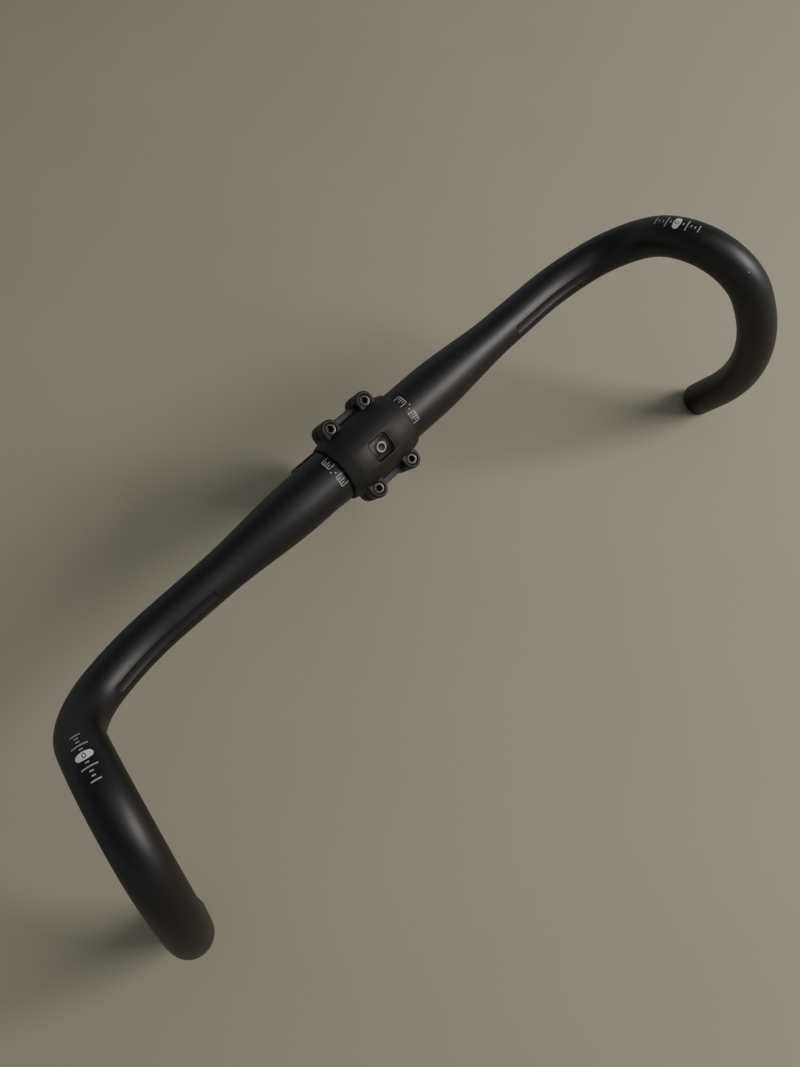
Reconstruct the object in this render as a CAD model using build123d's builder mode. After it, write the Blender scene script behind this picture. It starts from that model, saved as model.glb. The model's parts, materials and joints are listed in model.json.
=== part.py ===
from build123d import *
from math import cos, radians, sin, sqrt
import os

# Driving dimensions, in millimetres and degrees.
# The bar is described with x along its clamp axis, y forward and z up when it is ridden.

# handlebar tube
clamp_diameter = 31.8          # thick centre section held by the stem
tops_diameter = 24.4           # straight tops, where the taper ends
grip_diameter = 23.8           # bends, hooks and drops
centre_wall = 2.3              # wall of the thick centre section
grip_wall = 1.8                # wall of the bends, hooks and drops
clamp_half_length = 50.0       # where the thick section starts to taper
taper_end = 116.0              # where the taper reaches the tops diameter
tops_half_length = 147.0       # where the tops start to sweep forward
tops_sweep = 24.0              # how far the outer tops turn forward
sweep_radius = 110.0
corner_radius = 38.5           # bend from the tops into the hooks
ramp_rise = 2.5                # the ramp climbs this much as it leaves the corner
hook_toe = 3.0                 # the hook plane turns outwards towards the front
flare = 13.5                   # the drops lean outwards
hook_radius = 44.5             # tight front of the hook
hook_turn = 102.0
drop_radius = 130.0            # easy curve of the drop
drop_turn = 52.0
drop_straight = 25.0           # straight end of the drop

# shallow cable channel on the front of the tops
channel_start = 120.0
channel_angle = 99.0           # from straight up, turning forward
channel_cutter = 9.0           # radius of the channel's round section
channel_depth = 0.8

# stem
face_bolt_size = 4.0           # M4 in the faceplate
pinch_bolt_size = 5.0          # M5 in the steerer clamp
stem_length = 100.0            # clamp axis to steerer axis, along the stem
stem_rise = 21.0               # the stem's axis climbs this much against the bar's own level
steerer_diameter = 28.6
steerer_wall = 3.0
steerer_top = 12.0             # top of the steerer clamp above the stem's axis
steerer_bottom = 26.0          # bottom of the steerer clamp below the stem's axis
lug_wall = 1.7                 # behind the pinch bolts' heads
lug_half_width = 10.5
lug_corner = 2.5               # rounding of the lugs' long edges
pinch_slit = 2.0
pinch_inset = 9.0              # pinch bolts, in from each end of the steerer clamp
pinch_wall = 0.35              # between the pinch bolts' heads and the steerer
pinch_seat = 4.5               # bolt head seat, out from the slit's middle
pinch_bolt_length = 14.0
neck_front_width = 36.0
neck_front_height = 33.0
neck_rear_width = 31.0
neck_rear_height = 28.0
neck_wall = 3.0
neck_step = 1.0                # steerer clamp stands this proud of the neck's top
neck_roundness = 0.42          # corner radius of the neck, as a share of its height

# bar clamp: cradle on the stem and faceplate in front of it
clamp_half_width = 25.0        # half the width of cradle and faceplate
band_half_width = 16.0         # half the width of their full-radius band
band_wall = 4.6                # from the bar to the outside of the band
rim_wall = 2.0                 # the same at the bevelled edges
clamp_gap = 2.0                # daylight between cradle and faceplate
bolt_spacing_x = 26.6
bolt_offset = 5.5              # faceplate bolt axes, out from the bar's skin
ear_wall = 1.85                # round each bolt head
web_wall = 7.4                 # from the bar to the outside of the webs between the ears
web_depth = 5.0                # of those webs, from the split plane's middle
ear_top = 10.4                 # front of the faceplate's ears, from the split plane's middle
ear_back = 11.5                # back of the cradle's ears
ear_round = 1.2
head_seat = 6.0                # faceplate bolt heads sit here
face_bolt_length = 17.0

# inlaid badge on the faceplate
badge_side = 13.0
badge_turn = 12.0              # round the bar, below the middle of the faceplate
badge_corner = 2.4
badge_pocket_depth = 1.9
badge_thickness = 0.7
badge_gap = 0.15
badge_border = 0.9
badge_relief = 0.3
badge_ring_radius = 3.1
badge_ring_width = 1.0

# fits
bar_clearance = 0.05           # radial, bar in its clamp
steerer_clearance = 0.05       # radial, steerer in its clamp
thread_clearance = 0.05        # radial, bolt in its tapped hole
bolt_clearance = 0.3           # radial, bolt in a plain hole
head_clearance = 0.3           # radial, bolt head in its pocket

# socket head bolts, as shares of their size
head_share = 0.85              # head radius
key_share = 0.8                # across the key's flats
key_depth_share = 0.55
head_chamfer = 0.5
tip_chamfer = 0.6

# worked-out sizes
clamp_radius = clamp_diameter / 2
grip_radius = grip_diameter / 2
cradle_bore = clamp_radius + bar_clearance
band_radius = clamp_radius + band_wall
rim_radius = clamp_radius + rim_wall
steerer_bore = steerer_diameter / 2 + steerer_clearance
steerer_outside = steerer_diameter / 2 + steerer_wall
face_pocket = head_share * face_bolt_size + head_clearance
pinch_pocket = head_share * pinch_bolt_size + head_clearance
pinch_axis = steerer_bore + pinch_wall + pinch_pocket
lug_reach = pinch_axis + pinch_pocket + lug_wall
bolt_spacing_y = clamp_diameter + 2 * bolt_offset
ear_radius = face_pocket + ear_wall
neck_rear_drop = neck_rear_height / 2 - steerer_top + neck_step
ear_spots = [(sx * bolt_spacing_x / 2, sy * bolt_spacing_y / 2) for sx in (-1, 1) for sy in (-1, 1)]
pinch_spots = [steerer_bottom - pinch_inset, pinch_inset - steerer_top]


# Route of one half of the bar: (middle, end) for each arc and (None, end) for each line.

def bend(point, heading, new_heading, radius):
    turn = radians(heading.get_angle(new_heading))
    side = (new_heading - heading * cos(turn)).normalized()
    middle = point + heading * (radius * sin(turn / 2)) + side * (radius * (1 - cos(turn / 2)))
    end = point + heading * (radius * sin(turn)) + side * (radius * (1 - cos(turn)))
    return middle, end


def hook_heading(angle):
    """Heading in the hook plane, turning from forward to down."""
    forward = Vector(sin(radians(hook_toe)), cos(radians(hook_toe)), 0)
    down = Vector(sin(radians(flare)), 0, -cos(radians(flare)))
    down = (down - forward * down.dot(forward)).normalized()
    return forward * cos(radians(angle)) + down * sin(radians(angle))


def half_route():
    sweep_heading = Vector(cos(radians(tops_sweep)), sin(radians(tops_sweep)), 0)
    turns = [-ramp_rise, hook_turn / 2 - ramp_rise, hook_turn - ramp_rise]
    turns.append(turns[-1] + drop_turn)
    headings = [sweep_heading] + [hook_heading(angle) for angle in turns]
    radii = [sweep_radius, corner_radius, hook_radius, hook_radius, drop_radius]
    point = Vector(tops_half_length, 0, 0)
    heading = Vector(1, 0, 0)
    route = [(None, point)]
    for new_heading, radius in zip(headings, radii):
        middle, point = bend(point, heading, new_heading, radius)
        route.append((middle, point))
        heading = new_heading
    route.append((None, point + heading * drop_straight))
    return route


def draw_route(start, pieces):
    """Lines and arcs through the pieces, inside the BuildLine that is open."""
    for middle, end in pieces:
        if middle is None:
            Line(tuple(start), tuple(end))
        else:
            ThreePointArc(tuple(start), tuple(middle), tuple(end))
        start = end


# Resting place: both drop ends and the stem's lower lug corner stand on the floor.

def turned(y, z, angle):
    """A point beside the clamp axis, after the bar is tipped back by an angle."""
    turn = radians(angle)
    return Vector(0, y * cos(turn) - z * sin(turn), y * sin(turn) + z * cos(turn))


def tube_reach(samples, direction):
    """How far the tube's skin reaches from the clamp axis in one direction."""
    reach = 0.0
    for centre, heading in samples:
        along = heading.dot(direction)
        reach = max(reach, centre.dot(direction) + grip_radius * sqrt(max(0.0, 1 - along * along)))
    return reach


def stem_reach(tip, direction):
    """The same for the rounded back corners of the stem's lugs."""
    tip = tip + stem_rise
    back = stem_length + lug_reach - lug_corner
    reach = 0.0
    for below in (steerer_bottom - lug_corner, lug_corner - steerer_top):
        corner = turned(-back, 0, tip) + turned(0, -below, tip)
        reach = max(reach, corner.dot(direction) + lug_corner)
    return reach


with BuildLine() as free_route:
    draw_route(Vector(0, 0, 0), half_route())
free_wire = free_route.wire()
free_samples = [(free_wire @ (k / 600), free_wire % (k / 600)) for k in range(601)]


def overhang(tip):
    """How much lower the drops reach than the stem, when tipped back by an angle."""
    down = Vector(0, 0, -1)
    bar_down = turned(down.Y, down.Z, -tip)
    return tube_reach(free_samples, bar_down) - stem_reach(tip, down)


tip_low = 10.0
tip_high = 75.0
for _ in range(30):
    rest_tip = (tip_low + tip_high) / 2
    if overhang(rest_tip) > 0:
        tip_low = rest_tip
    else:
        tip_high = rest_tip

forward_reach = tube_reach(free_samples, turned(1, 0, -rest_tip))
backward_reach = stem_reach(rest_tip, Vector(0, -1, 0))
clamp_height = stem_reach(rest_tip, Vector(0, 0, -1))
clamp_centre = Vector(0, (backward_reach - forward_reach) / 2, clamp_height)

# Bar frame: x along the bar, y forward, z up. Stem frame: z out through the faceplate, y below.
bar_frame = Plane(clamp_centre, x_dir=(1, 0, 0), z_dir=turned(0, 1, rest_tip))
stem_frame = Plane(clamp_centre, x_dir=(1, 0, 0), z_dir=turned(1, 0, rest_tip + stem_rise))
bar_axis = Axis(clamp_centre, (1, 0, 0))


def within(frame, plane):
    """A plane given in a frame's own coordinates."""
    return Plane(frame.location * plane.location)


def save(piece, name):
    piece.part.label = name
    export_step(piece.part, "parts/" + name + ".step")


os.makedirs("parts", exist_ok=True)


# Handlebar: one bent tube, drawn as a half and mirrored.

def tube_profile(wall_off_centre, wall_off_grip):
    """Half section of the straight middle, against the bar's axis."""
    thick = clamp_radius - wall_off_centre
    thin = tops_diameter / 2 - wall_off_grip
    end = grip_radius - wall_off_grip
    with BuildSketch(within(bar_frame, Plane.XZ)) as section:
        with BuildLine():
            Line((0, 0), (0, thick))
            Line((0, thick), (clamp_half_length, thick))
            Spline((clamp_half_length, thick), (taper_end, thin), tangents=[(1, 0), (1, 0)])
            Line((taper_end, thin), (tops_half_length, end))
            Line((tops_half_length, end), (tops_half_length, 0))
            Line((tops_half_length, 0), (0, 0))
        make_face()
    return section.sketch


route = half_route()
with BuildPart() as handlebar:
    with BuildLine(bar_frame) as bends:
        draw_route(route[0][1], route[1:])
    bends_wire = bends.wire()
    with BuildLine(bar_frame) as channel_route:
        draw_route(Vector(channel_start, 0, 0), route[:2])
    channel_wire = channel_route.wire()
    start_plane = Plane(bends_wire @ 0, x_dir=bar_frame.y_dir, z_dir=(1, 0, 0))
    channel_plane = Plane(channel_wire @ 0, x_dir=bar_frame.y_dir, z_dir=(1, 0, 0))
    revolve(tube_profile(0, 0), axis=bar_axis)
    with BuildSketch(start_plane):
        Circle(grip_radius)
    sweep(path=bends_wire)
    with BuildSketch(channel_plane):
        offset_out = tops_diameter / 2 - channel_depth + channel_cutter
        turn = radians(channel_angle)
        with Locations((offset_out * sin(turn), offset_out * cos(turn))):
            Circle(channel_cutter)
    sweep(path=channel_wire, mode=Mode.SUBTRACT)
    revolve(tube_profile(centre_wall, grip_wall), axis=bar_axis, mode=Mode.SUBTRACT)
    with BuildSketch(start_plane):
        Circle(grip_radius - grip_wall)
    sweep(path=bends_wire, mode=Mode.SUBTRACT)
    mirror(about=Plane.YZ)
save(handlebar, "handlebar")


# Clamp band shared by the cradle and the faceplate: a bevelled ring around the bar.

def band_section():
    with BuildSketch(within(stem_frame, Plane.XZ)) as section:
        Polygon(
            (-clamp_half_width, 0),
            (-clamp_half_width, rim_radius),
            (-band_half_width, band_radius),
            (band_half_width, band_radius),
            (clamp_half_width, rim_radius),
            (clamp_half_width, 0),
            align=None,
        )
    return section.sketch


def ear_outline():
    """Two bars with round ends, each carrying the ears of one side of the clamp."""
    with Locations((-bolt_spacing_x / 2, 0), (bolt_spacing_x / 2, 0)):
        SlotCenterToCenter(bolt_spacing_y, 2 * ear_radius, rotation=90)


def arched_tile(side, corner, low_radius, high_radius):
    """A rounded square that follows the band, between two radii of the bar's axis."""
    with BuildPart() as tile:
        with BuildSketch(badge_frame):
            RectangleRounded(side, side, corner)
        extrude(amount=2 * high_radius)
        with BuildSketch(across_frame):
            Circle(high_radius)
        extrude(amount=side, both=True, mode=Mode.INTERSECT)
        with BuildSketch(across_frame):
            Circle(low_radius)
        extrude(amount=side, both=True, mode=Mode.SUBTRACT)
    return tile.part


across_frame = within(stem_frame, Plane.YZ)
badge_out = (0, sin(radians(badge_turn)), cos(radians(badge_turn)))
badge_frame = within(stem_frame, Plane((0, 0, 0), x_dir=(1, 0, 0), z_dir=badge_out))
web_reach = clamp_radius + web_wall
clear_size = 4 * clamp_half_width
badge_floor = band_radius - badge_pocket_depth


def edges_at_height(part, local_height):
    """Edges of a part that lie wholly at one height along the stem frame."""
    level = stem_frame.offset(local_height)
    return part.edges().filter_by(lambda edge: all(
        abs(level.to_local_coords(edge @ t).Z) < 0.01 for t in (0, 0.37, 1)
    ))


# Faceplate: half of the band with four ears, bored for the bar, drilled and counterbored.

with BuildPart() as faceplate:
    with BuildSketch(stem_frame.offset(clamp_gap / 2)):
        ear_outline()
    extrude(amount=ear_top - clamp_gap / 2)
    fillet(edges_at_height(faceplate, ear_top), ear_round)
    with BuildSketch(stem_frame):
        Rectangle(bolt_spacing_x, 2 * web_reach)
    extrude(amount=web_depth)
    revolve(band_section(), axis=bar_axis)
    with BuildSketch(stem_frame.offset(clamp_gap / 2)):
        Rectangle(clear_size, clear_size)
    extrude(amount=clear_size, mode=Mode.INTERSECT)
    with BuildSketch(across_frame):
        Circle(cradle_bore)
    extrude(amount=clear_size, both=True, mode=Mode.SUBTRACT)
    with BuildSketch(stem_frame):
        with Locations(*ear_spots):
            Circle(face_bolt_size / 2 + bolt_clearance)
    extrude(amount=clear_size, mode=Mode.SUBTRACT)
    with BuildSketch(stem_frame.offset(head_seat)):
        with Locations(*ear_spots):
            Circle(face_pocket)
    extrude(amount=clear_size, mode=Mode.SUBTRACT)
    add(arched_tile(badge_side, badge_corner, badge_floor, 2 * band_radius), mode=Mode.SUBTRACT)
save(faceplate, "faceplate")


# Badge: an arched tile with a raised border and a raised ring, bonded into its pocket.

with BuildPart() as faceplate_badge:
    badge_face = badge_floor + badge_thickness
    badge_tile = badge_side - 2 * badge_gap
    badge_inner = badge_tile - 2 * badge_border
    add(arched_tile(badge_tile, badge_corner - badge_gap, badge_floor, badge_face + badge_relief))
    inner_corner = badge_corner - badge_gap - badge_border / 2
    sunk = arched_tile(badge_inner, inner_corner, badge_face, badge_face + 2 * badge_relief)
    add(sunk, mode=Mode.SUBTRACT)
    with BuildSketch(badge_frame.offset(badge_floor + badge_thickness / 2)):
        Circle(badge_ring_radius)
        Circle(badge_ring_radius - badge_ring_width, mode=Mode.SUBTRACT)
    extrude(amount=badge_thickness / 2 + badge_relief)
save(faceplate_badge, "faceplate_badge")


# Stem body: cradle with tapped ears, hollow neck, split steerer clamp with two pinch lugs.

steerer_plane = within(stem_frame, Plane((0, steerer_bottom, -stem_length), (1, 0, 0), (0, -1, 0)))
steerer_height = steerer_bottom + steerer_top


def neck(width_inset, height_inset, front, back):
    """Tapered neck between the cradle and the steerer clamp."""
    with BuildPart() as body:
        with BuildSketch(stem_frame.offset(-front)):
            neck_section(neck_front_width - width_inset, neck_front_height - height_inset)
        with BuildSketch(within(stem_frame, Plane((0, neck_rear_drop, -back)))):
            neck_section(neck_rear_width - width_inset, neck_rear_height - height_inset)
        loft()
    return body.part


def neck_section(width, height):
    RectangleRounded(width, height, neck_roundness * height)


with BuildPart() as stem_body:
    with BuildSketch(stem_frame.offset(-clamp_gap / 2)):
        ear_outline()
    extrude(amount=clamp_gap / 2 - ear_back)
    fillet(edges_at_height(stem_body, -ear_back), ear_round)
    with BuildSketch(stem_frame):
        Rectangle(bolt_spacing_x, 2 * web_reach)
    extrude(amount=-web_depth)
    revolve(band_section(), axis=bar_axis)
    with BuildSketch(stem_frame.offset(-clamp_gap / 2)):
        Rectangle(clear_size, clear_size)
    extrude(amount=-clear_size, mode=Mode.INTERSECT)
    add(neck(0, 0, clamp_radius / 2, stem_length))
    with BuildSketch(steerer_plane):
        Circle(steerer_outside)
    extrude(amount=steerer_height)
    with BuildSketch(steerer_plane):
        with Locations((0, -lug_reach / 2)):
            Rectangle(2 * lug_half_width, lug_reach)
    extrude(amount=steerer_height)
    fillet(edges_at_height(stem_body, -stem_length - lug_reach), lug_corner)
    add(neck(2 * neck_wall, 2 * neck_wall, clamp_radius / 2, stem_length), mode=Mode.SUBTRACT)
    with BuildSketch(steerer_plane):
        Circle(steerer_bore)
        with Locations((0, -clear_size / 2)):
            Rectangle(pinch_slit, clear_size)
    extrude(amount=steerer_height, mode=Mode.SUBTRACT)
    with BuildSketch(across_frame):
        Circle(cradle_bore)
    extrude(amount=clear_size, both=True, mode=Mode.SUBTRACT)
    with BuildSketch(stem_frame):
        with Locations(*ear_spots):
            Circle(face_bolt_size / 2 + thread_clearance)
    extrude(amount=-ear_back - 1, mode=Mode.SUBTRACT)
    pinch_centres = [(spot, -stem_length - pinch_axis) for spot in pinch_spots]
    with BuildSketch(across_frame):
        with Locations(*pinch_centres):
            Circle(pinch_bolt_size / 2 + thread_clearance)
    extrude(amount=-clear_size, mode=Mode.SUBTRACT)
    with BuildSketch(across_frame):
        with Locations(*pinch_centres):
            Circle(pinch_bolt_size / 2 + bolt_clearance)
    extrude(amount=clear_size, mode=Mode.SUBTRACT)
    with BuildSketch(across_frame.offset(pinch_seat)):
        with Locations(*pinch_centres):
            Circle(pinch_pocket)
    extrude(amount=clear_size, mode=Mode.SUBTRACT)
save(stem_body, "stem_body")


# Socket head bolts. The seat plane is under the head and faces the way the bolt comes out.

def socket_bolt(seat, size, length):
    with BuildPart() as bolt:
        with BuildSketch(seat):
            Circle(head_share * size)
        extrude(amount=size)
        chamfer(bolt.edges().sort_by(Axis(seat.origin, seat.z_dir))[-1], head_chamfer)
        with BuildSketch(seat):
            Circle(size / 2)
        extrude(amount=-length)
        chamfer(bolt.edges().sort_by(Axis(seat.origin, seat.z_dir))[0], tip_chamfer)
        with BuildSketch(seat.offset(size)):
            RegularPolygon(key_share * size / 2, 6, major_radius=False)
        extrude(amount=-key_depth_share * size, mode=Mode.SUBTRACT)
    return bolt


sides = {-1: "left", 1: "right"}
heights = {-1: "upper", 1: "lower"}
for sx, side in sides.items():
    for sy, height in heights.items():
        spot = (sx * bolt_spacing_x / 2, sy * bolt_spacing_y / 2, head_seat)
        bolt = socket_bolt(within(stem_frame, Plane(spot)), face_bolt_size, face_bolt_length)
        save(bolt, "faceplate_bolt_" + height + "_" + side)

for spot, height in zip(pinch_spots, ("lower", "upper")):
    seat_centre = (pinch_seat, spot, -stem_length - pinch_axis)
    seat = within(stem_frame, Plane(seat_centre, x_dir=(0, 1, 0), z_dir=(1, 0, 0)))
    save(socket_bolt(seat, pinch_bolt_size, pinch_bolt_length), "steerer_bolt_" + height)
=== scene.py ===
import bpy
import bmesh
import json
from math import cos, pi, radians, sin
from mathutils import Matrix, Vector


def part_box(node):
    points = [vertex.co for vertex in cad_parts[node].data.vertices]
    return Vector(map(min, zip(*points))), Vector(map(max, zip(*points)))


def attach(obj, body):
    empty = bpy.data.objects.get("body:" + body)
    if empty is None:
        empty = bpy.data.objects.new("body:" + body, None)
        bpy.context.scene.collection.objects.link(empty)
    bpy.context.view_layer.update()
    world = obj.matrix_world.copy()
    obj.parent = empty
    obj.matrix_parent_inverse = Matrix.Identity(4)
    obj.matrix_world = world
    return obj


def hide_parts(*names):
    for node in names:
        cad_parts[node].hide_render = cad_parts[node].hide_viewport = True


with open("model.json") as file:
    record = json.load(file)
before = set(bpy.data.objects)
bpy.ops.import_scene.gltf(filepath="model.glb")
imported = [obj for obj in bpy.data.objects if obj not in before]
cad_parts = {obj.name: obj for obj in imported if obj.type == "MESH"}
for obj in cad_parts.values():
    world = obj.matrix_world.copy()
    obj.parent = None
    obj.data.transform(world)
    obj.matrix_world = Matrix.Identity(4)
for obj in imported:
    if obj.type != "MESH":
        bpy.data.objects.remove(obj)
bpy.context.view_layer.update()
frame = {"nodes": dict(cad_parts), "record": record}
mm = 0.001
weld = 0.002 * mm  # points nearer than this are one point
print("frame loaded")

# camera: metres and degrees, in the model's own frame
cameraView = {
    "place": (0.1681, 0.1671, 0.5493),
    "target": (0.0055, 0.0036, 0.0600),
    "roll": -0.91,
    "lensMm": 29.08,
}


def addCamera(v):
    cam = bpy.data.cameras.new("camera")
    cam.lens = v["lensMm"]
    ob = bpy.data.objects.new("camera", cam)
    bpy.context.scene.collection.objects.link(ob)
    look = Vector(v["target"]) - Vector(v["place"])
    turn = look.to_track_quat("-Z", "Y").to_matrix().to_4x4()
    ob.matrix_world = Matrix.Translation(v["place"]) @ turn @ Matrix.Rotation(radians(v["roll"]), 4, "Z")
    bpy.context.scene.camera = ob


addCamera(cameraView)
print("camera set")


def addNode(tree, kind, settings, feeds):
    node = tree.nodes.new(kind)
    for name, value in settings.items():
        setattr(node, name, value)
    for name, value in feeds.items():
        if isinstance(value, bpy.types.NodeSocket):
            tree.links.new(value, node.inputs[name])
        else:
            node.inputs[name].default_value = value
    return node


def linear(hexColour):
    parts = [int(hexColour[i:i + 2], 16) / 255 for i in (1, 3, 5)]
    return (*[p / 12.92 if p <= 0.04045 else ((p + 0.055) / 1.055) ** 2.4 for p in parts], 1)


# the clamp's own directions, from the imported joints: the neck rises 21 degrees behind the faceplate's axis
joints = {j["name"]: j for j in frame["record"]["behaviour"]["joints"]}
clampCentre = Vector(joints["bar_roll"]["pos_m"])
across = Vector((1, 0, 0))
outward = Vector(joints["faceplate_off"]["axis"]).normalized()
below = outward.cross(across)
stemRise = radians(21)
forward = outward * cos(stemRise) + below * sin(stemRise)
upward = across.cross(forward)


def newMaterial(name, **constants):
    mat = bpy.data.materials.new(name)
    mat.use_nodes = True
    shader = mat.node_tree.nodes["Principled BSDF"]
    for key, value in constants.items():
        shader.inputs[key.replace("_", " ")].default_value = value
    return mat, mat.node_tree, shader


# millimetres, then how matt the skin is at its shiniest and dullest
barFinish = {
    "grit": 0.45, "patch": 38.0, "scuffSpacing": 21.0, "scuffSize": 0.55,
    "shiny": 0.42, "dull": 0.5, "dye": ("#070505", "#0d0a0b"), "bareMetal": "#6f6d6a",
}


def makeBarFinish(v):
    # 6061 aluminium, fine bead blasted and dyed black: a dark satin skin with a broad soft sheen
    mat, tree, shader = newMaterial("blastedBlackAnodisedAluminium", IOR=1.5)
    where = addNode(tree, "ShaderNodeTexCoord", {}, {}).outputs["Object"]
    patch = addNode(tree, "ShaderNodeTexNoise", {},
                    {"Vector": where, "Scale": 1 / (v["patch"] * mm), "Detail": 4.0})
    colour = addNode(tree, "ShaderNodeMix", {"data_type": "RGBA"},
                     {"Factor": patch.outputs["Fac"], 6: linear(v["dye"][0]), 7: linear(v["dye"][1])})
    # sparse pale chips where the dye has been knocked off
    cells = addNode(tree, "ShaderNodeTexVoronoi", {},
                    {"Vector": where, "Scale": 1 / (v["scuffSpacing"] * mm)})
    chip = addNode(tree, "ShaderNodeMath", {"operation": "LESS_THAN"},
                   {0: cells.outputs["Distance"], 1: v["scuffSize"] / v["scuffSpacing"]})
    chipped = addNode(tree, "ShaderNodeMix", {"data_type": "RGBA"},
                      {"Factor": chip.outputs[0], 6: colour.outputs[2], 7: linear(v["bareMetal"])})
    tree.links.new(chipped.outputs[2], shader.inputs["Base Color"])
    rough = addNode(tree, "ShaderNodeMapRange", {},
                    {"Value": patch.outputs["Fac"], "To Min": v["shiny"], "To Max": v["dull"]})
    tree.links.new(rough.outputs[0], shader.inputs["Roughness"])
    # real grit is near 0.1 mm, drawn coarser so that it shows
    grit = addNode(tree, "ShaderNodeTexNoise", {},
                   {"Vector": where, "Scale": 1 / (v["grit"] * mm), "Detail": 2.0})
    bump = addNode(tree, "ShaderNodeBump", {},
                   {"Height": grit.outputs["Fac"], "Strength": 0.22, "Distance": 0.05 * mm})
    tree.links.new(bump.outputs[0], shader.inputs["Normal"])
    return mat


barMat = makeBarFinish(barFinish)

forgedFinish = {
    "peen": 0.7, "patch": 24.0, "edge": 0.7,
    "shiny": 0.52, "dull": 0.64, "dye": ("#0c0908", "#14100e"),
}


def makeForgedFinish(v):
    # forged 2014 aluminium, shot peened and anodised: warm black, matt, faintly pebbled
    mat, tree, shader = newMaterial("peenedBlackForgedAluminium", IOR=1.5)
    where = addNode(tree, "ShaderNodeTexCoord", {}, {}).outputs["Object"]
    patch = addNode(tree, "ShaderNodeTexNoise", {},
                    {"Vector": where, "Scale": 1 / (v["patch"] * mm), "Detail": 5.0})
    colour = addNode(tree, "ShaderNodeMix", {"data_type": "RGBA"},
                     {"Factor": patch.outputs["Fac"], 6: linear(v["dye"][0]), 7: linear(v["dye"][1])})
    tree.links.new(colour.outputs[2], shader.inputs["Base Color"])
    rough = addNode(tree, "ShaderNodeMapRange", {},
                    {"Value": patch.outputs["Fac"], "To Min": v["shiny"], "To Max": v["dull"]})
    tree.links.new(rough.outputs[0], shader.inputs["Roughness"])
    soft = addNode(tree, "ShaderNodeBevel", {"samples": 6}, {"Radius": v["edge"] * mm})
    # peening dimples, drawn about twice their real width
    dimple = addNode(tree, "ShaderNodeTexVoronoi", {"feature": "SMOOTH_F1"},
                     {"Vector": where, "Scale": 1 / (v["peen"] * mm), "Smoothness": 0.6})
    bump = addNode(tree, "ShaderNodeBump", {},
                   {"Height": dimple.outputs["Distance"], "Strength": 0.3, "Distance": 0.06 * mm,
                    "Normal": soft.outputs[0]})
    tree.links.new(bump.outputs[0], shader.inputs["Normal"])
    return mat


forgedMat = makeForgedFinish(forgedFinish)

# the paler bolt colour is not the steel's own: it is a painted highlight laid on the head's rim and socket
# edge
boltFinish = {"blotch": 1.3, "shiny": 0.28, "dull": 0.45, "oxide": "#191716", "paleMix": "#76726d"}


def makeBoltFinish(v):
    # alloy steel with black oxide: dark oily grey, with a paler painted highlight in blotches on the head's
    # rim and socket edge
    mat, tree, shader = newMaterial("blackOxideSteel", Metallic=1.0)
    where = addNode(tree, "ShaderNodeTexCoord", {}, {}).outputs["Object"]
    blotch = addNode(tree, "ShaderNodeTexNoise", {},
                     {"Vector": where, "Scale": 1 / (v["blotch"] * mm), "Detail": 4.0})
    # painted highlight: each profile row says how much paler it is painted, most on the rolled rim of the
    # head
    rim = addNode(tree, "ShaderNodeAttribute", {"attribute_name": "rim"}, {})
    paleMix = addNode(tree, "ShaderNodeMath", {"operation": "MULTIPLY", "use_clamp": True},
                     {0: rim.outputs["Fac"], 1: blotch.outputs["Fac"]})
    colour = addNode(tree, "ShaderNodeMix", {"data_type": "RGBA"},
                     {"Factor": paleMix.outputs[0], 6: linear(v["oxide"]), 7: linear(v["paleMix"])})
    tree.links.new(colour.outputs[2], shader.inputs["Base Color"])
    rough = addNode(tree, "ShaderNodeMapRange", {},
                    {"Value": blotch.outputs["Fac"], "To Min": v["shiny"], "To Max": v["dull"]})
    tree.links.new(rough.outputs[0], shader.inputs["Roughness"])
    return mat


boltMat = makeBoltFinish(boltFinish)

# spacing of the starved spots in millimetres, and each ink's full and thin colour
inkFinish = {
    "starve": 0.9,
    "grey": ("#b4b3b0", "#8e8d8b"), "white": ("#e2e1dc", "#cfcec8"), "dark": ("#26262a", "#38383c"),
}


def makeInk(v, name, tone):
    # pad-printed epoxy ink: thin, matt, slightly starved in places
    mat, tree, shader = newMaterial(name, Roughness=0.55)
    where = addNode(tree, "ShaderNodeTexCoord", {}, {}).outputs["Object"]
    starve = addNode(tree, "ShaderNodeTexNoise", {},
                     {"Vector": where, "Scale": 1 / (v["starve"] * mm), "Detail": 3.0})
    colour = addNode(tree, "ShaderNodeMix", {"data_type": "RGBA"},
                     {"Factor": starve.outputs["Fac"], 6: linear(v[tone][0]), 7: linear(v[tone][1])})
    tree.links.new(colour.outputs[2], shader.inputs["Base Color"])
    return mat


greyInk = makeInk(inkFinish, "padPrintedGreyInk", "grey")
whiteInk = makeInk(inkFinish, "padPrintedWhiteInk", "white")
darkInk = makeInk(inkFinish, "padPrintedDarkInk", "dark")

badgeFinish = {
    "turn": 12.0, "ringRadius": 3.1, "ringWidth": 1.0, "grain": 0.8, "edge": 0.25,
    "shiny": 0.35, "dull": 0.5, "nickel": ("#1f1d1b", "#2b2826"), "paleMix": "#6f6b67",
}


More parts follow.
